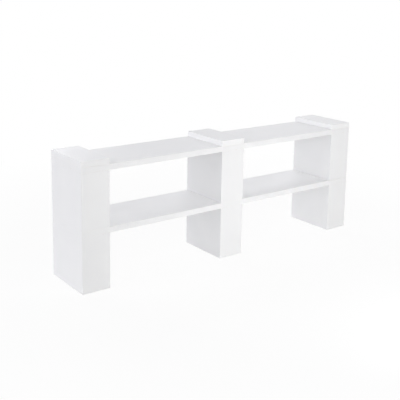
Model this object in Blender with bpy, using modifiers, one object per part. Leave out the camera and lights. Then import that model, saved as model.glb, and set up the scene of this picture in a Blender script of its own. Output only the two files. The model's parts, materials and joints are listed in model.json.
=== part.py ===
"""Low block and board shelving unit: three columns of hollow blocks, two through boards and three caps.

Each column is a stack on the floor: lower block, lower board, upper block, upper board, cap. A block is four
mitred panels with a plate glued in at each end. Two dowels stand in the top plate of each block. They pass
through the board on it and end in the piece above, so every piece lifts straight off the one below.

Metres, +Z up. X runs along the boards, the front faces -Y, and the origin is on the floor at mid length.
"""

import math

import bmesh
import bpy
from mathutils import Matrix, Vector

# Overall sizes
unit_length = 1.900
unit_depth = 0.325
column_width = 0.158
block_height = 0.295
board_thickness = 0.030
cap_thickness = 0.030

# Blocks
panel_thickness = 0.015
plate_thickness = 0.016
plate_recess = 0.0015
panel_corner_ease = 0.0012
panel_rim_ease = 0.0006

# Boards and caps
board_edge_ease = 0.0010
cap_edge_ease = 0.0010
ease_segments = 2

# Dowels
dowel_diameter = 0.010
dowel_setback = 0.080
dowel_reach = 0.014
dowel_tip_chamfer = 0.0012
round_segments = 24

# Floor strips
strip_thickness = 0.003
strip_width = 0.020
strip_inset = 0.012
strip_end_inset = 0.010

# Clearances
seam_gap = 0.0003
glue_gap = 0.0003
dowel_glue_gap = 0.0001
dowel_slip_gap = 0.0005
dowel_end_gap = 0.002
cut_overrun = 0.004

# Limits of the modelling tools
weld_distance = 0.000003
flat_angle = math.radians(1)
sharp_angle = math.radians(40)

column_names = ("left", "centre", "right")
dowel_names = ("front", "rear")

# Heights of the stack, from the floor up
lower_block_base = strip_thickness + seam_gap - plate_recess
lower_board_base = lower_block_base + block_height + seam_gap
upper_block_base = lower_board_base + board_thickness + seam_gap
upper_board_base = upper_block_base + block_height + seam_gap
cap_base = upper_board_base + board_thickness + seam_gap

# Places along the unit and across its depth
column_pitch = (unit_length - column_width) / (len(column_names) - 1)
column_places = {
    name: column_pitch * index - (unit_length - column_width) / 2
    for index, name in enumerate(column_names)
}
dowel_places = {"front": dowel_setback - unit_depth / 2, "rear": unit_depth / 2 - dowel_setback}

# A dowel starts level with its plate's underside and ends inside the piece above the board.
dowel_length = plate_thickness + plate_recess + seam_gap + board_thickness + seam_gap + dowel_reach

for old in list(bpy.data.objects):
    bpy.data.objects.remove(old, do_unlink=True)

parts = bpy.data.collections.new("shelving_unit")
cutters = bpy.data.collections.new("cutters")
for collection in (parts, cutters):
    bpy.context.scene.collection.children.link(collection)
cutters.hide_render = True


def finish_of(name, colour, roughness):
    """A Principled BSDF material of one colour."""
    material = bpy.data.materials.new(name)
    material.use_nodes = True
    shader = material.node_tree.nodes["Principled BSDF"]
    shader.inputs["Base Color"].default_value = (*colour, 1)
    shader.inputs["Roughness"].default_value = roughness
    shader.inputs["Metallic"].default_value = 0
    return material


panel_finish = finish_of("white_panel_foil", (0.82, 0.82, 0.84), 0.42)
board_finish = finish_of("white_board_foil", (0.80, 0.81, 0.83), 0.40)
cap_finish = finish_of("white_cap_foil", (0.81, 0.81, 0.83), 0.40)
plate_finish = finish_of("raw_chipboard", (0.55, 0.42, 0.27), 0.85)
dowel_finish = finish_of("beech_dowel", (0.68, 0.50, 0.32), 0.65)
strip_finish = finish_of("grey_felt", (0.35, 0.35, 0.36), 0.95)


def carrier(name, place, parent=None):
    """An empty that a group of pieces hangs from, on the line that the group lifts along."""
    empty = bpy.data.objects.new(name, None)
    parts.objects.link(empty)
    empty.parent = parent
    empty.location = Vector(place) - (world_place(parent) if parent else Vector())
    return empty


def world_place(obj):
    """Where an unrotated carrier stands, its parents' places added up."""
    place = Vector()
    while obj:
        place += obj.location
        obj = obj.parent
    return place


def put(name, mesh, place, parent, turn=0.0, collection=parts):
    """An object that shows this mesh at a place in the world, hung from a carrier."""
    obj = bpy.data.objects.new(name, mesh)
    collection.objects.link(obj)
    obj.parent = parent
    obj.location = Vector(place) - world_place(parent)
    obj.rotation_euler = (0, 0, turn)
    return obj


def box_mesh(name, size, finish):
    """A box about its own centre, at its real size."""
    mesh = bpy.data.meshes.new(name)
    shape = bmesh.new()
    bmesh.ops.create_cube(shape, size=1)
    bmesh.ops.scale(shape, vec=size, verts=shape.verts)
    shape.to_mesh(mesh)
    shape.free()
    mesh.materials.append(finish)
    return mesh


def rods_mesh(name, radius, depth, places):
    """Upright rods of one radius and depth, each about its own place."""
    mesh = bpy.data.meshes.new(name)
    shape = bmesh.new()
    for place in places:
        bmesh.ops.create_cone(
            shape,
            cap_ends=True,
            segments=round_segments,
            radius1=radius,
            radius2=radius,
            depth=depth,
            matrix=Matrix.Translation(place),
        )
    shape.to_mesh(mesh)
    shape.free()
    return mesh


def drill(piece, radius, low, high, places):
    """Upright round holes through a piece, from low to high, one at each place on the plan."""
    middle = (low + high) / 2
    rods = rods_mesh(
        piece.name + "_holes",
        radius,
        high - low,
        [(x, y, 0) for x, y in places],
    )
    cutter = put(piece.name + "_drill", rods, (0, 0, middle), piece.parent, collection=cutters)
    cutter.hide_render = True
    cutter.display_type = "WIRE"
    cut = piece.modifiers.new("dowel_holes", "BOOLEAN")
    cut.operation = "DIFFERENCE"
    cut.solver = "EXACT"
    cut.object = cutter


def ease(piece, width):
    """Rounds the sharp edges of a piece a little."""
    bevel = piece.modifiers.new("eased_edges", "BEVEL")
    bevel.width = width
    bevel.segments = ease_segments
    bevel.limit_method = "ANGLE"


def extruded_outline(name, outline, height):
    """A closed mesh from a flat outline, drawn out to a height about its own middle."""
    curve = bpy.data.curves.new(name, "CURVE")
    curve.dimensions = "2D"
    curve.fill_mode = "BOTH"
    curve.extrude = height / 2
    spline = curve.splines.new("POLY")
    spline.points.add(len(outline) - 1)
    for point, (x, y) in zip(spline.points, outline):
        point.co = (x, y, 0, 1)
    spline.use_cyclic_u = True
    drawn = bpy.data.objects.new(name, curve)
    parts.objects.link(drawn)
    graph = bpy.context.evaluated_depsgraph_get()
    mesh = bpy.data.meshes.new_from_object(drawn.evaluated_get(graph))
    bpy.data.objects.remove(drawn, do_unlink=True)
    return mesh


def panel_mesh(name, width):
    """One side of a block: an upright board whose two long edges are mitred at 45 degrees.

    On the plan its outer face lies along y = 0 and its inner face at minus its thickness. The outer corners
    are eased square to the mitre, so that two panels make one eased corner.
    """
    half = width / 2 - glue_gap * math.sqrt(1 / 2)
    corner = panel_corner_ease / 2
    outline = [
        (panel_corner_ease - half, 0),
        (half - panel_corner_ease, 0),
        (half - corner, -corner),
        (half - panel_thickness, -panel_thickness),
        (panel_thickness - half, -panel_thickness),
        (corner - half, -corner),
    ]
    mesh = extruded_outline(name, outline, block_height)
    shape = bmesh.new()
    shape.from_mesh(mesh)
    bmesh.ops.remove_doubles(shape, verts=shape.verts, dist=weld_distance)
    bmesh.ops.dissolve_limit(shape, angle_limit=flat_angle, verts=shape.verts, edges=shape.edges)
    rim = [edge for edge in shape.edges if on_outer_rim(edge)]
    bmesh.ops.bevel(shape, geom=rim, offset=panel_rim_ease, segments=1, affect="EDGES")
    bmesh.ops.recalc_face_normals(shape, faces=shape.faces)
    shape.to_mesh(mesh)
    shape.free()
    mesh.materials.clear()
    mesh.materials.append(panel_finish)
    return mesh


def on_outer_rim(edge):
    """True for the edges along the top and bottom of a panel's outer face."""
    ends = [vert.co for vert in edge.verts]
    level = abs(ends[0].z - ends[1].z) < glue_gap
    outside = all(abs(end.z) > block_height / 2 - glue_gap for end in ends)
    in_front = all(end.y > -panel_corner_ease for end in ends)
    return level and outside and in_front


# Meshes that several pieces share
end_panel = panel_mesh("end_panel", column_width)
side_panel = panel_mesh("side_panel", unit_depth)
plate_size = (
    column_width - (panel_thickness + glue_gap) * 2,
    unit_depth - (panel_thickness + glue_gap) * 2,
    plate_thickness,
)
dowel_mesh = rods_mesh("dowel", dowel_diameter / 2, dowel_length, [(0, 0, 0)])
dowel_mesh.materials.append(dowel_finish)
dowel_mesh.shade_smooth()
dowel_mesh.set_sharp_from_angle(angle=sharp_angle)
strip_size = (strip_width, unit_depth - (panel_thickness + strip_end_inset) * 2, strip_thickness)
strip_mesh = box_mesh("floor_strip", strip_size, strip_finish)


def dowel_plan(x):
    """Where the dowels of the column at x stand on the plan."""
    return [(x, dowel_places[end]) for end in dowel_names]


def add_plate(name, x, base, parent, hole_radius=None):
    """A plate glued in between a block's panels, drilled for the dowels where a hole radius is given."""
    plate = put(name, box_mesh(name, plate_size, plate_finish), (x, 0, base + plate_thickness / 2), parent)
    if hole_radius:
        drill(plate, hole_radius, base - cut_overrun, base + plate_thickness + cut_overrun, dowel_plan(x))


def add_block(name, x, base, parent, bottom_hole_radius=None):
    """Four mitred panels, two plates and the dowels that stand in the top plate."""
    middle = base + block_height / 2
    front = (x, -unit_depth / 2, middle)
    rear = (x, unit_depth / 2, middle)
    put(name + "_front_panel", end_panel, front, parent, math.pi)
    put(name + "_rear_panel", end_panel, rear, parent)
    put(name + "_left_panel", side_panel, (x - column_width / 2, 0, middle), parent, math.pi / 2)
    put(name + "_right_panel", side_panel, (x + column_width / 2, 0, middle), parent, -math.pi / 2)
    top_plate_base = base + block_height - plate_recess - plate_thickness
    add_plate(name + "_bottom_plate", x, base + plate_recess, parent, bottom_hole_radius)
    add_plate(name + "_top_plate", x, top_plate_base, parent, dowel_diameter / 2 + dowel_glue_gap)
    for end in dowel_names:
        place = (x, dowel_places[end], top_plate_base + dowel_length / 2)
        dowel = put(f"{name}_{end}_dowel", dowel_mesh, place, parent)
        ease(dowel, dowel_tip_chamfer)


def add_floor_strips(column, x, parent):
    """Two felt strips under a lower block, one along each side."""
    reach = column_width / 2 - panel_thickness - strip_inset - strip_width / 2
    for side, across in (("left", -reach), ("right", reach)):
        put(f"{column}_column_{side}_floor_strip", strip_mesh, (x + across, 0, strip_thickness / 2), parent)


def add_board(name, base, parent):
    """A board through all the columns, drilled for the dowels that stand in the blocks under it."""
    mesh = box_mesh(name, (unit_length, unit_depth, board_thickness), board_finish)
    board = put(name, mesh, (0, 0, base + board_thickness / 2), parent)
    ease(board, board_edge_ease)
    plan = [spot for x in column_places.values() for spot in dowel_plan(x)]
    radius = dowel_diameter / 2 + dowel_slip_gap
    drill(board, radius, base - cut_overrun, base + board_thickness + cut_overrun, plan)


def add_cap(name, x, parent):
    """A cap with two blind holes underneath for the tips of the dowels."""
    mesh = box_mesh(name, (column_width, unit_depth, cap_thickness), cap_finish)
    cap = put(name, mesh, (x, 0, cap_base + cap_thickness / 2), parent)
    ease(cap, cap_edge_ease)
    hole_top = cap_base + dowel_reach + dowel_end_gap
    drill(cap, dowel_diameter / 2 + dowel_slip_gap, cap_base - cut_overrun, hole_top, dowel_plan(x))


# Carriers: each stands where its group meets the one below it
lower_blocks = carrier("lower_blocks", (0, 0, 0))
lower_board = carrier("lower_board_lift", (0, 0, lower_board_base), lower_blocks)
upper_blocks = {
    column: carrier(f"{column}_upper_block_lift", (x, 0, upper_block_base), lower_board)
    for column, x in column_places.items()
}
upper_board = carrier("upper_board_lift", (0, 0, upper_board_base), upper_blocks["centre"])
caps = {
    column: carrier(f"{column}_cap_lift", (x, 0, cap_base), upper_board)
    for column, x in column_places.items()
}

# The pieces, from the floor up
for column, x in column_places.items():
    add_floor_strips(column, x, lower_blocks)
    add_block(f"{column}_lower_block", x, lower_block_base, lower_blocks)
add_board("lower_board", lower_board_base, lower_board)
for column, x in column_places.items():
    slip_radius = dowel_diameter / 2 + dowel_slip_gap
    add_block(f"{column}_upper_block", x, upper_block_base, upper_blocks[column], slip_radius)
add_board("upper_board", upper_board_base, upper_board)
for column, x in column_places.items():
    add_cap(f"{column}_cap", x, caps[column])
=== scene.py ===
"""Looks of a low white shelving unit: hollow blocks, two long boards and a cap on each column.

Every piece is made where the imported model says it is, from the floor up. Then the studio is set round it.
Metres, +Z up, front at -Y.
"""

import json
import math

import bmesh
import bpy
from mathutils import Matrix, Vector, noise

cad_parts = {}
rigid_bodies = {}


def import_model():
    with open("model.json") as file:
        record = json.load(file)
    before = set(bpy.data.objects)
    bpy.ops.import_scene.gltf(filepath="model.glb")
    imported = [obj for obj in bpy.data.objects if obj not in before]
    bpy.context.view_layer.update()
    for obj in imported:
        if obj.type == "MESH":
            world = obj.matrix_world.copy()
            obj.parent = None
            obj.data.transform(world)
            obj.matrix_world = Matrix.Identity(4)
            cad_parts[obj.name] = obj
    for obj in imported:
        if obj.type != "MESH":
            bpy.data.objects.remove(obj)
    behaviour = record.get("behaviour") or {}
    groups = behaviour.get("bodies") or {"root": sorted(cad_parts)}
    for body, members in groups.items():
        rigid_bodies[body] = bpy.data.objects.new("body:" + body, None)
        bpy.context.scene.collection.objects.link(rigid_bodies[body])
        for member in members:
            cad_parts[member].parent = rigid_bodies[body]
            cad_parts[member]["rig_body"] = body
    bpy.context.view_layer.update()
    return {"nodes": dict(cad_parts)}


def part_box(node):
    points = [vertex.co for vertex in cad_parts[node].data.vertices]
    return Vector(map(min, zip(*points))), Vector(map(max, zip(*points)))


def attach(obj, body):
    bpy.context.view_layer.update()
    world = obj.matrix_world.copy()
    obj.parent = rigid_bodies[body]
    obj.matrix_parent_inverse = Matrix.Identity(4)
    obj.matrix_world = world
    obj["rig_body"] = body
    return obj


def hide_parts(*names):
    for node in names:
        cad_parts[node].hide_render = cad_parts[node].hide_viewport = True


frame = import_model()


# Floor strips. Two strips of grey wool felt under each column, cut from a roll with a gummed back. They are
# pressed on to the bottom plate inside the block's rim, and hold that rim just off the floor.
columns = ("left", "centre", "right")
felt_round = 0.0006
felt_corner_steps = 3
felt_side_points = 7
felt_step = 0.0025
felt_lump = 0.0022
felt_wander = 0.00035
felt_pile = 0.00018
felt_grey = (0.205, 0.207, 0.213)
felt_dark = (0.105, 0.106, 0.110)
felt_light = (0.360, 0.362, 0.370)
felt_mat = 0.0030
felt_fibre = 0.0004
felt_fibre_run = 5
felt_fibre_shows = (0.5, 0.8)
felt_roughness = (0.90, 1.0)
felt_sheen = 0.25
felt_sheen_roughness = 0.6
felt_relief = 0.0003
pattern_shift = (7.0, 5.0, 3.0)


def round_rectangle(half_x, half_y, corner, steps, between=0):
    """Points round a rectangle with round corners, and some along its two sides in x if asked."""
    points = []
    for quarter, (right, top) in enumerate(((1, 1), (-1, 1), (-1, -1), (1, -1))):
        for step in range(steps + 1):
            angle = (quarter + step / steps) * math.pi / 2
            x = right * (half_x - corner) + corner * math.cos(angle)
            points.append((x, top * (half_y - corner) + corner * math.sin(angle)))
        if quarter % 2 == 0:
            for number in range(between):
                share = 1 - 2 * (number + 1) / (between + 1)
                points.append((right * share * (half_x - corner), top * half_y))
    return points


def loft(name, rings, slot_of, end_slot, broad):
    """A closed mesh through rings of equally many points, with one flat face over each end.

    slot_of(row, side) is the material slot of the face between a ring and the next one. A face whose
    shortest side is under broad belongs to an eased edge, and is shaded smooth.
    """
    shape = bmesh.new()
    rows = [[shape.verts.new(point) for point in ring] for ring in rings]
    for row, (near, far) in enumerate(zip(rows, rows[1:])):
        for side in range(len(near)):
            after = (side + 1) % len(near)
            face = shape.faces.new((near[side], near[after], far[after], far[side]))
            face.material_index = slot_of(row, side)
            face.smooth = min(edge.calc_length() for edge in face.edges) < broad
    for end in (rows[0][::-1], rows[-1]):
        face = shape.faces.new(end)
        face.material_index = end_slot
    bmesh.ops.recalc_face_normals(shape, faces=shape.faces)
    mesh = bpy.data.meshes.new(name)
    shape.to_mesh(mesh)
    shape.free()
    return mesh


def show(name, mesh, place, finishes, turn=0.0):
    """An object that shows a mesh at a place, in the finishes of its slots."""
    piece = bpy.data.objects.new(name, mesh)
    bpy.context.scene.collection.objects.link(piece)
    piece.location = place
    piece.rotation_euler = (0, 0, turn)
    if not mesh.materials:
        for finish in finishes:
            mesh.materials.append(finish)
    return piece


def stand_for(piece, node):
    """The piece takes a node's place: it rides on the node's body, and the node is hidden."""
    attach(piece, frame["nodes"][node]["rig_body"])
    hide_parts(node)


def new_finish(name):
    """A new material with its node tree and its shader."""
    material = bpy.data.materials.new(name)
    material.use_nodes = True
    tree = material.node_tree
    return material, tree, tree.nodes["Principled BSDF"]


def own_place(tree):
    """Where a point is on its own piece, in metres, shifted by an amount that differs between pieces."""
    place = tree.nodes.new("ShaderNodeTexCoord")
    piece = tree.nodes.new("ShaderNodeObjectInfo")
    shift = tree.nodes.new("ShaderNodeVectorMath")
    shift.operation = "SCALE"
    shift.inputs[0].default_value = pattern_shift
    tree.links.new(piece.outputs["Random"], shift.inputs["Scale"])
    moved = tree.nodes.new("ShaderNodeVectorMath")
    tree.links.new(place.outputs["Object"], moved.inputs[0])
    tree.links.new(shift.outputs[0], moved.inputs[1])
    return moved.outputs[0]


def scaled(tree, place, factors):
    """A place scaled by its own factor along each axis."""
    sized = tree.nodes.new("ShaderNodeVectorMath")
    sized.operation = "MULTIPLY"
    sized.inputs[1].default_value = factors
    tree.links.new(place, sized.inputs[0])
    return sized.outputs[0]


def cloud(tree, place, patch, detail=2.0, stretch=(1, 1, 1)):
    """Soft noise from 0 to 1 whose patches are about patch metres across, and longer by stretch."""
    field = tree.nodes.new("ShaderNodeTexNoise")
    field.inputs["Scale"].default_value = 1.0
    field.inputs["Detail"].default_value = detail
    sized = scaled(tree, place, [1 / (patch * longer) for longer in stretch])
    tree.links.new(sized, field.inputs["Vector"])
    return field.outputs["Fac"]


def ranged(tree, value, low, high, start=0.3, end=0.7):
    """A value that runs from low to high while another runs from start to end."""
    spread = tree.nodes.new("ShaderNodeMapRange")
    for socket, number in (("From Min", start), ("From Max", end), ("To Min", low), ("To Max", high)):
        spread.inputs[socket].default_value = number
    tree.links.new(value, spread.inputs["Value"])
    return spread.outputs["Result"]


def mixed(tree, share, first, second):
    """The colour between two colours at a share. Each may be a colour or a socket."""
    mix = tree.nodes.new("ShaderNodeMix")
    mix.data_type = "RGBA"
    tree.links.new(share, mix.inputs["Factor"])
    for socket, colour in ((mix.inputs[6], first), (mix.inputs[7], second)):
        if isinstance(colour, tuple):
            socket.default_value = (*colour, 1)
        else:
            tree.links.new(colour, socket)
    return mix.outputs[2]


def relief(tree, shader, height, depth):
    """Fine relief on the shader, where a height from 0 to 1 stands for a depth in metres."""
    bump = tree.nodes.new("ShaderNodeBump")
    bump.inputs["Strength"].default_value = 1.0
    bump.inputs["Distance"].default_value = depth
    tree.links.new(height, bump.inputs["Height"])
    tree.links.new(bump.outputs["Normal"], shader.inputs["Normal"])


def felt_finish():
    """Pressed wool: matted fibres of lighter and darker grey, quite without shine."""
    material, tree, shader = new_finish("grey_felt")
    place = own_place(tree)
    matted = cloud(tree, place, felt_mat, detail=4.0)
    fibres = cloud(tree, place, felt_fibre, detail=3.0, stretch=(1, felt_fibre_run, 1))
    ground = mixed(tree, ranged(tree, matted, 0, 1), felt_dark, felt_grey)
    colour = mixed(tree, ranged(tree, fibres, 0, 1, *felt_fibre_shows), ground, felt_light)
    tree.links.new(colour, shader.inputs["Base Color"])
    tree.links.new(ranged(tree, matted, *felt_roughness), shader.inputs["Roughness"])
    shader.inputs["Sheen Weight"].default_value = felt_sheen
    shader.inputs["Sheen Roughness"].default_value = felt_sheen_roughness
    relief(tree, shader, fibres, felt_relief)
    return material


def felt_ring(half, y, inset):
    """One cross-section of a strip: a rectangle with round edges, uneven from the cut and the pile."""
    ring = []
    half_x = half.x - inset
    half_z = half.z - inset
    for x, z in round_rectangle(half_x, half_z, felt_round, felt_corner_steps, felt_side_points):
        point = Vector((x, y, z))
        point.x *= 1 - felt_wander / half.x * (0.5 + 0.5 * noise.noise(point / felt_lump))
        point.z *= 1 - felt_pile / half.z * (0.5 + 0.5 * noise.noise(point / felt_lump * 2))
        ring.append(point)
    return ring


grey_felt = felt_finish()
for column in columns:
    for side in ("left", "right"):
        node = f"{column}_column_{side}_floor_strip"
        low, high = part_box(node)
        half = (high - low) / 2
        count = round(2 * half.y / felt_step)
        ends = [(0, felt_round), (felt_round / 3, felt_round / 4)]
        stations = [(y - half.y, inset) for y, inset in ends]
        stations += [(half.y * (2 * index / count - 1), 0) for index in range(1, count)]
        stations += [(half.y - y, inset) for y, inset in reversed(ends)]
        rings = [felt_ring(half, y, inset) for y, inset in stations]
        strip_mesh = loft(f"{node}_mesh", rings, lambda row, side: 0, 0, felt_step * 2)
        strip = show(f"{node}_felt", strip_mesh, (low + high) / 2, [grey_felt])
        stand_for(strip, node)


# Dowels. Two turned and fluted beech pins in the top plate of each block, glued in flush with its
# underside. They stand up through the board on that block and end inside the piece above, so that nothing
# can slide off.
levels = ("lower", "upper")
flute_count = 20
flute_depth = 0.00030
flute_fullness = 0.7
flute_start = 0.0021
points_in_a_flute = 6
dowel_chamfer = 0.0014
chamfer_top = 0.00126
chamfer_top_inset = 0.00035
beech_pale = (0.600, 0.400, 0.228)
beech_warm = (0.470, 0.275, 0.135)
beech_fleck = (0.300, 0.150, 0.065)
beech_grain = 0.0009
beech_grain_run = 30
beech_ray = 0.0004
beech_ray_run = 6
beech_ray_shows = (0.62, 0.70)
beech_roughness = (0.50, 0.68)
beech_relief = 0.0001


def beech_finish():
    """Raw beech: straight pinkish grain along the pin, with the short dark flecks of its rays."""
    material, tree, shader = new_finish("beech_dowel")
    place = own_place(tree)
    grain = cloud(tree, place, beech_grain, detail=4.0, stretch=(1, 1, beech_grain_run))
    flecks = cloud(tree, place, beech_ray, detail=1.0, stretch=(1, 1, beech_ray_run))
    wood = mixed(tree, ranged(tree, grain, 0, 1), beech_pale, beech_warm)
    colour = mixed(tree, ranged(tree, flecks, 0, 1, *beech_ray_shows), wood, beech_fleck)
    tree.links.new(colour, shader.inputs["Base Color"])
    tree.links.new(ranged(tree, grain, *beech_roughness), shader.inputs["Roughness"])
    relief(tree, shader, grain, beech_relief)
    return material


def dowel_ring(radius, depth, z):
    """One level of a pin: a circle with flutes of that depth."""
    ring = []
    count = flute_count * points_in_a_flute
    for index in range(count):
        angle = 2 * math.pi * index / count
        scoop = max(0.0, math.cos(flute_count * angle)) ** flute_fullness
        reach = radius - depth * scoop
        ring.append(Vector((reach * math.cos(angle), reach * math.sin(angle), z)))
    return ring


beech = beech_finish()
blocks = [f"{column}_{level}_block" for level in levels for column in columns]
low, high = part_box("left_lower_block_front_dowel")
radius = (high.x - low.x) / 2
half_length = (high.z - low.z) / 2
profile = [
    (radius - dowel_chamfer, 0, -half_length),
    (radius - chamfer_top_inset, flute_depth / 2, chamfer_top - half_length),
    (radius, flute_depth, flute_start - half_length),
]
profile += [(reach, depth, -z) for reach, depth, z in reversed(profile)]
rings = [dowel_ring(*level) for level in profile]
dowel_mesh = loft("fluted_dowel", rings, lambda row, side: 0, 0, radius)
for block in blocks:
    for end in ("front", "rear"):
        node = f"{block}_{end}_dowel"
        low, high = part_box(node)
        stand_for(show(f"{node}_pin", dowel_mesh, (low + high) / 2, [beech]), node)


# End plates. A plate of raw three-layer chipboard closes each end of a block, sawn to fit and glued in a
# little below the rim. Top plates are drilled for their dowels, and an upper block's bottom plate for the
# tips of the dowels below.
plate_arris = 0.0003
plate_arris_steps = 2
mouth_chamfer = 0.0005
hole_overrun = 0.002
hole_sides = 40
drill_tip_narrowing = 8
drill_tip_bluntness = 3
dowel_slip = 0.0005
dowel_glue = 0.0001
chip_pale = (0.560, 0.410, 0.245)
chip_tan = (0.400, 0.262, 0.135)
chip_brown = (0.215, 0.118, 0.052)
chips_in_a_metre = (420, 260, 900)
chip_tints = (0.1, 0.9)
chip_dust = 0.0012
chip_dust_run = 2
chip_dust_share = 0.6
chip_bark = 0.0028
chip_bark_shows = (0.66, 0.74)
chip_roughness = (0.75, 0.95)
chip_shine = 0.25
chip_relief = 0.0004


def chipboard_finish():
    """Pressed and sanded wood chips: flat flakes of several tans with dark glue and bark between them."""
    material, tree, shader = new_finish("raw_chipboard")
    place = own_place(tree)
    flakes = tree.nodes.new("ShaderNodeTexVoronoi")
    flakes.inputs["Scale"].default_value = 1.0
    flakes.inputs["Randomness"].default_value = 1.0
    tree.links.new(scaled(tree, place, chips_in_a_metre), flakes.inputs["Vector"])
    tint = tree.nodes.new("ShaderNodeSeparateColor")
    tree.links.new(flakes.outputs["Color"], tint.inputs[0])
    dust = cloud(tree, place, chip_dust, detail=5.0, stretch=(1, chip_dust_run, 1))
    bark = cloud(tree, place, chip_bark, detail=2.0)
    ground = mixed(tree, ranged(tree, tint.outputs[0], 0, 1, *chip_tints), chip_tan, chip_pale)
    sanded = mixed(tree, ranged(tree, dust, 0, chip_dust_share), ground, chip_pale)
    colour = mixed(tree, ranged(tree, bark, 0, 1, *chip_bark_shows), sanded, chip_brown)
    tree.links.new(colour, shader.inputs["Base Color"])
    tree.links.new(ranged(tree, tint.outputs[1], *chip_roughness, 0, 1), shader.inputs["Roughness"])
    shader.inputs["Specular IOR Level"].default_value = chip_shine
    relief(tree, shader, dust, chip_relief)
    return material


def quarter_round(radius, steps):
    """Insets and heights up a round arris, from the flat face under it to the upright side."""
    turns = [math.pi / 2 * step / steps for step in range(steps + 1)]
    return [(radius * (1 - math.sin(turn)), radius * (1 - math.cos(turn))) for turn in turns]


def slab_rings(size, corner, profile, steps):
    """Rings of a flat slab about its own middle, whose top edge is its bottom edge upside down.

    profile gives inset and height, from the underside's face to its side.
    """
    half = Vector(size) / 2
    levels_up = [(inset, z - half.z) for inset, z in profile]
    levels_up += [(inset, -z) for inset, z in reversed(levels_up)]
    return [
        [
            Vector((x, y, z))
            for x, y in round_rectangle(half.x - inset, half.y - inset, corner - inset, steps)
        ]
        for inset, z in levels_up
    ]


def hole_mesh(radius, low, high, slot, blind):
    """The cutter of one upright hole with chamfered mouths. A blind hole ends in the drill's blunt cone."""
    mouth = radius + mouth_chamfer
    levels_up = [(mouth, low - hole_overrun), (mouth, low), (radius, low + mouth_chamfer)]
    if blind:
        levels_up += [(radius, high), (radius / drill_tip_narrowing, high + radius / drill_tip_bluntness)]
    else:
        levels_up += [(radius, high - mouth_chamfer), (mouth, high), (mouth, high + hole_overrun)]
    turns = [2 * math.pi * index / hole_sides for index in range(hole_sides)]
    rings = [
        [Vector((reach * math.cos(turn), reach * math.sin(turn), z)) for turn in turns]
        for reach, z in levels_up
    ]
    return loft("hole", rings, lambda row, side: slot, slot, radius)


def drilled(mesh, holes, slot):
    """The mesh with upright holes cut in it.

    Each hole has its place, its radius, its low and high end, and whether it is blind.
    """
    slab = bpy.data.objects.new("slab", mesh)
    cutter_shape = bmesh.new()
    for (x, y), radius, low, high, blind in holes:
        hole = hole_mesh(radius, low, high, slot, blind)
        hole.transform(Matrix.Translation((x, y, 0)))
        cutter_shape.from_mesh(hole)
        bpy.data.meshes.remove(hole)
    cutter_mesh = bpy.data.meshes.new("holes")
    cutter_shape.to_mesh(cutter_mesh)
    cutter_shape.free()
    cutter = bpy.data.objects.new("holes", cutter_mesh)
    for temporary in (slab, cutter):
        bpy.context.scene.collection.objects.link(temporary)
    cut = slab.modifiers.new("holes", "BOOLEAN")
    cut.operation = "DIFFERENCE"
    cut.solver = "EXACT"
    cut.object = cutter
    graph = bpy.context.evaluated_depsgraph_get()
    bored = bpy.data.meshes.new_from_object(slab.evaluated_get(graph))
    bored.name = mesh.name
    for temporary in (slab, cutter):
        bpy.data.objects.remove(temporary, do_unlink=True)
    bpy.data.meshes.remove(cutter_mesh)
    return bored


def dowels_at(block):
    """Where the two dowels of a block stand, their radius, and how high they reach."""
    places = []
    for end in ("front", "rear"):
        low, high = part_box(f"{block}_{end}_dowel")
        places.append(((low.x + high.x) / 2, (low.y + high.y) / 2))
    return places, (high.x - low.x) / 2, high.z


def holes_for(block, slack, middle, low, high, blind=False):
    """The holes for one block's dowels in a piece about its own middle."""
    places, radius, _ = dowels_at(block)
    return [((x - middle.x, y - middle.y), radius + slack, low, high, blind) for x, y in places]


chipboard = chipboard_finish()
for block in blocks:
    for end in ("bottom", "top"):
        node = f"{block}_{end}_plate"
        low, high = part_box(node)
        size = high - low
        middle = (low + high) / 2
        profile = quarter_round(plate_arris, plate_arris_steps)
        rings = slab_rings(size, plate_arris * 2, profile, plate_arris_steps)
        plate_mesh = loft(f"{node}_mesh", rings, lambda row, side: 0, 0, plate_arris * 3)
        if end == "top":
            holes = holes_for(block, dowel_glue, middle, -size.z / 2, size.z / 2)
            plate_mesh = drilled(plate_mesh, holes, 0)
        elif "upper" in block:
            below = block.replace("upper", "lower")
            holes = holes_for(below, dowel_slip, middle, -size.z / 2, size.z / 2)
            plate_mesh = drilled(plate_mesh, holes, 0)
        plate = show(f"{node}_chipboard", plate_mesh, middle, [chipboard])
        stand_for(plate, node)


# Block sides. Each block is one strip of 15 mm fibreboard, lacquered white on its face, grooved through to
# the skin at three places and folded up, so that its four panels meet in closed mitres with a small round
# corner. They stand tight on the boards, but for one front whose foot leaves a thin dark line.
corner_round = 0.0014
rim_round = 0.0004
round_steps = 5
mitre = 45
mitre_hairline = 0.00002
seam_overlap = 0.00012
open_foot = {"right_upper_block_front_panel": 0.00075}
fibre_pale = (0.470, 0.345, 0.215)
fibre_dark = (0.345, 0.235, 0.132)
fibre_fur = 0.0005
fibre_drift = 0.030
fibre_drift_share = 0.35
fibre_roughness = (0.82, 0.96)
fibre_shine = 0.2
fibre_relief = 0.0002
lacquer_white = (0.870, 0.870, 0.872)
lacquer_shade = (0.846, 0.848, 0.854)
lacquer_worn = (0.882, 0.878, 0.870)
lacquer_roughness = 0.50
lacquer_roughness_spread = 0.04
lacquer_drift = 0.140
lacquer_drift_share = 0.8
lacquer_mottle = 0.012
lacquer_mottle_share = 0.35
lacquer_wipe = 0.050
lacquer_wipe_run = 3
lacquer_peel = 0.0030
lacquer_peel_depth = 0.00003
arris_reach = 0.004
arris_worn_share = (0.25, 1.0)
arris_dulling = 0.10


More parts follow.
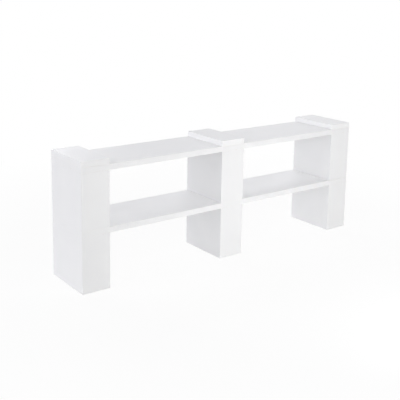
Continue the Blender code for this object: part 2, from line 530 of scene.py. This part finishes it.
def fibreboard_finish():
    """Cut fibreboard: an even fine brown felt of wood dust, a little furred by the saw."""
    material, tree, shader = new_finish("cut_fibreboard")
    place = own_place(tree)
    fur = cloud(tree, place, fibre_fur, detail=4.0)
    drift = cloud(tree, place, fibre_drift, detail=2.0)
    ground = mixed(tree, ranged(tree, fur, 0, 1), fibre_dark, fibre_pale)
    colour = mixed(tree, ranged(tree, drift, 0, fibre_drift_share), ground, fibre_pale)
    tree.links.new(colour, shader.inputs["Base Color"])
    tree.links.new(ranged(tree, fur, *fibre_roughness), shader.inputs["Roughness"])
    shader.inputs["Specular IOR Level"].default_value = fibre_shine
    relief(tree, shader, fur, fibre_relief)
    return material


def reckoned(tree, operation, *terms):
    """One step of arithmetic. Each term may be a number or a socket."""
    step = tree.nodes.new("ShaderNodeMath")
    step.operation = operation
    for socket, term in zip(step.inputs, terms):
        if isinstance(term, float):
            socket.default_value = term
        else:
            tree.links.new(term, socket)
    return step.outputs[0]


def arris_share(tree, half):
    """From 0 on the faces of a box-shaped piece to 1 at its arrises, where two of its sides are near."""
    place = tree.nodes.new("ShaderNodeTexCoord")
    apart = tree.nodes.new("ShaderNodeSeparateXYZ")
    tree.links.new(place.outputs["Object"], apart.inputs[0])
    near = []
    for axis, reach in enumerate(half):
        distance = reckoned(tree, "ABSOLUTE", apart.outputs[axis])
        near.append(ranged(tree, distance, 0, 1, reach - arris_reach, reach))
    share = reckoned(tree, "MINIMUM", near[0], near[1])
    for first, second in ((1, 2), (2, 0)):
        both = reckoned(tree, "MINIMUM", near[first], near[second])
        share = reckoned(tree, "MAXIMUM", share, both)
    return share


def lacquer_finish(name, half, roughness, tone=1.0):
    """White satin lacquer: a faint drift of tone, the spray's orange peel, and thin, dull arrises.

    half is the piece's own half size, and roughness the mean of its faces. tone scales all its colours, as
    painted light or shade that makes the piece lighter or darker for how the lamps fall on it.
    """
    # Painted light and shade: where tone is not 1, it makes all three colours lighter or darker.
    white = tuple(part * tone for part in lacquer_white)
    shade = tuple(part * tone for part in lacquer_shade)
    worn = tuple(part * tone for part in lacquer_worn)
    material, tree, shader = new_finish(name)
    place = own_place(tree)
    drift = cloud(tree, place, lacquer_drift, detail=2.0)
    mottle = cloud(tree, place, lacquer_mottle, detail=3.0)
    peel = cloud(tree, place, lacquer_peel, detail=1.0)
    wiped = cloud(tree, place, lacquer_wipe, detail=3.0, stretch=(lacquer_wipe_run, 1, 1))
    thin = reckoned(tree, "MULTIPLY", arris_share(tree, half), ranged(tree, mottle, *arris_worn_share))
    ground = mixed(tree, ranged(tree, drift, 0, lacquer_drift_share), white, shade)
    specked = mixed(tree, ranged(tree, mottle, 0, lacquer_mottle_share), ground, shade)
    tree.links.new(mixed(tree, thin, specked, worn), shader.inputs["Base Color"])
    smoothest = roughness - lacquer_roughness_spread
    roughest = roughness + lacquer_roughness_spread
    satin = ranged(tree, wiped, smoothest, roughest)
    tree.links.new(reckoned(tree, "MULTIPLY_ADD", thin, arris_dulling, satin), shader.inputs["Roughness"])
    relief(tree, shader, peel, lacquer_peel_depth)
    return material


def panel_ring(half, thickness, inset, z):
    """One level of a mitred panel on the plan, its outer face along y = 0 and drawn in by inset."""
    ring = []
    for side, first in ((-1, 90 + mitre), (1, 90)):
        for step in range(round_steps + 1):
            angle = math.radians(first - mitre * step / round_steps)
            x = side * (half - corner_round) + (corner_round - inset) * math.cos(angle)
            ring.append(Vector((x, (corner_round - inset) * math.sin(angle) - corner_round, z)))
    ring.append(Vector((half - thickness, -thickness, z)))
    ring.append(Vector((thickness - half, -thickness, z)))
    return ring


def panel_mesh(name, width, thickness, height, foot):
    """A mitred panel about its own middle, lacquered outside and cut fibreboard everywhere else.

    foot is how much shorter it is at its foot.
    """
    rim = [(inset, z - height / 2) for inset, z in quarter_round(rim_round, round_steps)]
    levels_up = [(inset, z + foot) for inset, z in rim]
    levels_up += [(inset, -z) for inset, z in reversed(rim)]
    rings = [panel_ring(width / 2 - mitre_hairline, thickness, inset, z) for inset, z in levels_up]
    cut_sides = 2 * round_steps + 1
    return loft(name, rings, lambda row, side: int(side >= cut_sides), 1, rim_round)


fibreboard = fibreboard_finish()
panel_meshes = {}
for block in blocks:
    sides = {side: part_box(f"{block}_{side}_panel") for side in ("front", "rear", "left", "right")}
    low = Vector((sides["left"][0].x, sides["front"][0].y, sides["left"][0].z - seam_overlap))
    high = Vector((sides["right"][1].x, sides["rear"][1].y, sides["left"][1].z + seam_overlap))
    size = high - low
    middle = (low + high) / 2
    thickness = sides["left"][1].x - sides["left"][0].x
    places = {
        "front": (middle.x, low.y, math.pi),
        "rear": (middle.x, high.y, 0.0),
        "left": (low.x, middle.y, math.pi / 2),
        "right": (high.x, middle.y, -math.pi / 2),
    }
    for side, (x, y, turn) in places.items():
        node = f"{block}_{side}_panel"
        facing = "front" if side in ("front", "rear") else "left"
        width = size.x if facing == "front" else size.y
        foot = open_foot.get(node, 0.0)
        if (facing, foot) not in panel_meshes:
            half = (width / 2, thickness, size.z / 2)
            lacquer = lacquer_finish(f"white_lacquer_{facing}", half, lacquer_roughness)
            mesh = panel_mesh(f"mitred_panel_{facing}", width, thickness, size.z, foot)
            panel_meshes[facing, foot] = mesh, [lacquer, fibreboard]
        mesh, finishes = panel_meshes[facing, foot]
        panel = show(f"{node}_lacquered", mesh, (x, y, middle.z), finishes, turn)
        stand_for(panel, node)


# Boards. Each long shelf is one 30 mm board, lacquered like the blocks, with a 1 mm strip glued along all
# four edges. Its joint shows as a hairline just inside each arris. Six holes let the dowels through.
edge_strip = 0.0010
edge_roughness = 0.48
joint_width = 0.00012
joint_depth = 0.00010
board_arris = 0.0005
core_slot = 2


def edged_slab(name, size, arris):
    """A board or cap with edge strips on all four sides, their joint a hairline in each face."""
    joint = [
        (edge_strip + joint_width, 0),
        (edge_strip + joint_width / 2, joint_depth),
        (edge_strip, 0),
    ]
    rings = slab_rings(size, corner_round, joint + quarter_round(arris, round_steps), round_steps)
    return loft(name, rings, lambda row, side: 1, 0, arris)


for level in levels:
    node = f"{level}_board"
    low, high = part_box(node)
    low.z -= seam_overlap
    high.z += seam_overlap
    size = high - low
    middle = (low + high) / 2
    face = lacquer_finish(f"white_{node}_face", size / 2, lacquer_roughness)
    strip = lacquer_finish(f"white_{node}_edge", size / 2, edge_roughness)
    holes = []
    for column in columns:
        holes += holes_for(f"{column}_{level}_block", dowel_slip, middle, -size.z / 2, size.z / 2)
    board_mesh = drilled(edged_slab(f"{node}_mesh", size, board_arris), holes, core_slot)
    board = show(f"{node}_edged", board_mesh, middle, [face, strip, chipboard])
    stand_for(board, node)


# Caps. A short piece of the same edged board ends each column. Each cap's faces and edges are painted a
# little lighter or darker, as painted light and shade for how the lamps fall on it. Two blind holes
# underneath drop over the tips of the dowels, so that it lifts straight off. The right cap stands a little
# open on the board.
cap_hole_room = 0.002
cap_arris = 0.0008
cap_gaps = {"left": 0.00005, "centre": 0.00005, "right": 0.00045}
# Painted light and shade: these make each cap's faces and edges lighter or darker for how light falls on
# it.
cap_face_painted_light = {"left": 0.980, "centre": 0.980, "right": 1.035}
cap_edge_painted_light = {"left": 1.010, "centre": 1.052, "right": 1.045}
for column in columns:
    node = f"{column}_cap"
    low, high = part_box(node)
    low.z += cap_gaps[column]
    size = high - low
    middle = (low + high) / 2
    block = f"{column}_upper_block"
    _, _, tip = dowels_at(block)
    holes = holes_for(block, dowel_slip, middle, -size.z / 2, tip + cap_hole_room - middle.z, blind=True)
    # The cap's faces and edges get their painted light and shade here, through the finish's tone.
    face = lacquer_finish(f"white_{node}_face", size / 2, lacquer_roughness, cap_face_painted_light[column])
    strip = lacquer_finish(f"white_{node}_edge", size / 2, edge_roughness, cap_edge_painted_light[column])
    cap_mesh = drilled(edged_slab(f"{node}_mesh", size, cap_arris), holes, core_slot)
    cap = show(f"{node}_edged", cap_mesh, middle, [face, strip, chipboard])
    stand_for(cap, node)


# Studio floor and surroundings. A wide pale floor under the unit that the camera sees as white paper with a
# soft contact shadow, and a plain white room beyond it.
floor_half = 9.0
floor_pale = (0.93, 0.93, 0.93)
floor_roughness = 0.9
floor_white_share = 0.92
floor_fade = (1.2, 2.6)
room_white = (1.0, 1.0, 1.0)
room_light = (0.97, 0.97, 1.0)
room_strength = 0.05


def seen_share(tree, most):
    """That share for rays that show the surroundings: from the camera, off gloss or through glass."""
    path = tree.nodes.new("ShaderNodeLightPath")
    share = path.outputs["Is Camera Ray"]
    for ray in ("Is Glossy Ray", "Is Transmission Ray"):
        share = reckoned(tree, "MAXIMUM", share, path.outputs[ray])
    return reckoned(tree, "MULTIPLY", share, most)


def away_from_middle(tree):
    """How far a point of the floor is from the middle of the unit, in metres."""
    place = tree.nodes.new("ShaderNodeTexCoord")
    length = tree.nodes.new("ShaderNodeVectorMath")
    length.operation = "LENGTH"
    tree.links.new(place.outputs["Object"], length.inputs[0])
    return length.outputs["Value"]


def floor_finish():
    """Pale floor paint that the camera sees nearly as white paper, and quite so away from the unit."""
    material, tree, shader = new_finish("studio_floor")
    shader.inputs["Base Color"].default_value = (*floor_pale, 1)
    shader.inputs["Roughness"].default_value = floor_roughness
    shader.inputs["Specular IOR Level"].default_value = 0
    white = tree.nodes.new("ShaderNodeEmission")
    white.inputs["Color"].default_value = (*room_white, 1)
    both = tree.nodes.new("ShaderNodeMixShader")
    share = ranged(tree, away_from_middle(tree), floor_white_share, 1, *floor_fade)
    tree.links.new(seen_share(tree, share), both.inputs[0])
    tree.links.new(shader.outputs[0], both.inputs[1])
    tree.links.new(white.outputs[0], both.inputs[2])
    tree.links.new(both.outputs[0], tree.nodes["Material Output"].inputs["Surface"])
    return material


floor_shape = bmesh.new()
bmesh.ops.create_grid(floor_shape, x_segments=1, y_segments=1, size=floor_half)
floor_mesh = bpy.data.meshes.new("studio_floor")
floor_shape.to_mesh(floor_mesh)
floor_shape.free()
floor = show("studio_floor", floor_mesh, (0, 0, 0), [floor_finish()])

world = bpy.data.worlds.new("studio_room")
bpy.context.scene.world = world
world.use_nodes = True
room = world.node_tree
light = room.nodes["Background"]
light.inputs["Color"].default_value = (*room_light, 1)
light.inputs["Strength"].default_value = room_strength
backdrop = room.nodes.new("ShaderNodeBackground")
backdrop.inputs["Color"].default_value = (*room_white, 1)
choice = room.nodes.new("ShaderNodeMixShader")
room.links.new(seen_share(room, 1.0), choice.inputs[0])
room.links.new(light.outputs[0], choice.inputs[1])
room.links.new(backdrop.outputs[0], choice.inputs[2])
room.links.new(choice.outputs[0], room.nodes["World Output"].inputs["Surface"])


# Lamps. Broad soft boxes stand for the bright walls and the sky round the unit, strongest behind it and on
# its left, so that fronts read lightest, tops a little greyer and the cheeks inside the bays greyer still.
# Small near ones lift the right end, the middle of the front and the left bay.
lamp_aim = Vector((0, 0, 0.35))
neutral = (1.0, 1.0, 1.0)
daylight = (0.965, 0.965, 1.0)
warm = (1.0, 0.99, 0.90)
soft_boxes = {
    "wall_rear": ((0.0, 12.0, 4.0), (10.0, 6.0), 1030, daylight),
    "sky_left": ((-9.0, 0.0, 8.0), (8.0, 8.0), 304, daylight),
    "wall_left_front": ((-9.5, -7.5, 3.2), (8.0, 6.0), 288, daylight),
    "right_rear_high": ((2.4, 2.2, 3.0), (1.6, 1.6), 28.5, daylight),
    "sky_front": ((0.0, -8.0, 8.5), (7.0, 7.0), 236, neutral),
    "wall_front_left": ((-5.0, -11.0, 2.5), (6.0, 4.5), 173, warm),
    "right": ((3.2, -0.4, 1.2), (1.6, 1.6), 16.1, neutral),
    "wall_left": ((-12.0, 0.0, 3.2), (10.0, 6.0), 159, daylight),
    "wall_left_near_rear": ((-11.5, 3.5, 2.5), (5.0, 4.5), 127, daylight),
    "front_high_mid": ((0.3, -2.2, 1.5), (1.0, 1.0), 7.19, neutral),
    "strip_mid": ((0.2, -1.6, 0.18), (0.6, 0.24), 4.4, neutral),
    "wall_left_rear": ((-9.5, 7.5, 3.2), (8.0, 6.0), 11.4, daylight),
    "over_bay_left": ((-0.75, -0.05, 1.25), (0.5, 0.5), 0.292, daylight),
}
for name, (place, size, watts, colour) in soft_boxes.items():
    lamp = bpy.data.lights.new(name, "AREA")
    lamp.shape = "RECTANGLE"
    lamp.size, lamp.size_y = size
    lamp.energy = watts
    lamp.color = colour
    box = bpy.data.objects.new(name, lamp)
    bpy.context.scene.collection.objects.link(box)
    box.location = place
    box.rotation_euler = (lamp_aim - Vector(place)).to_track_quat("-Z", "Y").to_euler()
    box.visible_camera = False


# Camera. A long lens at eye height to the unit's left front, tipped a little down. Its view is shifted down
# as well, as in the photograph, whose upright edges stay almost upright.
view_azimuth = math.radians(-37.12)
view_elevation = math.radians(10.69)
view_roll = math.radians(0.985)
view_distance = 4.152
view_aim = Vector((-0.1137, 0, 0.7793))
view_lens = 66.40
view_shift = -0.20

away = Vector((
    math.sin(view_azimuth) * math.cos(view_elevation),
    -math.cos(view_azimuth) * math.cos(view_elevation),
    math.sin(view_elevation),
))
camera_data = bpy.data.cameras.new("camera")
camera_data.lens = view_lens
camera_data.shift_y = view_shift
camera = bpy.data.objects.new("camera", camera_data)
bpy.context.scene.collection.objects.link(camera)
camera.location = view_aim + away * view_distance
upright = (-away).to_track_quat("-Z", "Y").to_matrix()
camera.rotation_euler = (upright @ Matrix.Rotation(view_roll, 3, "Z")).to_euler()
bpy.context.scene.camera = camera
bpy.context.scene.view_settings.view_transform = "Standard"
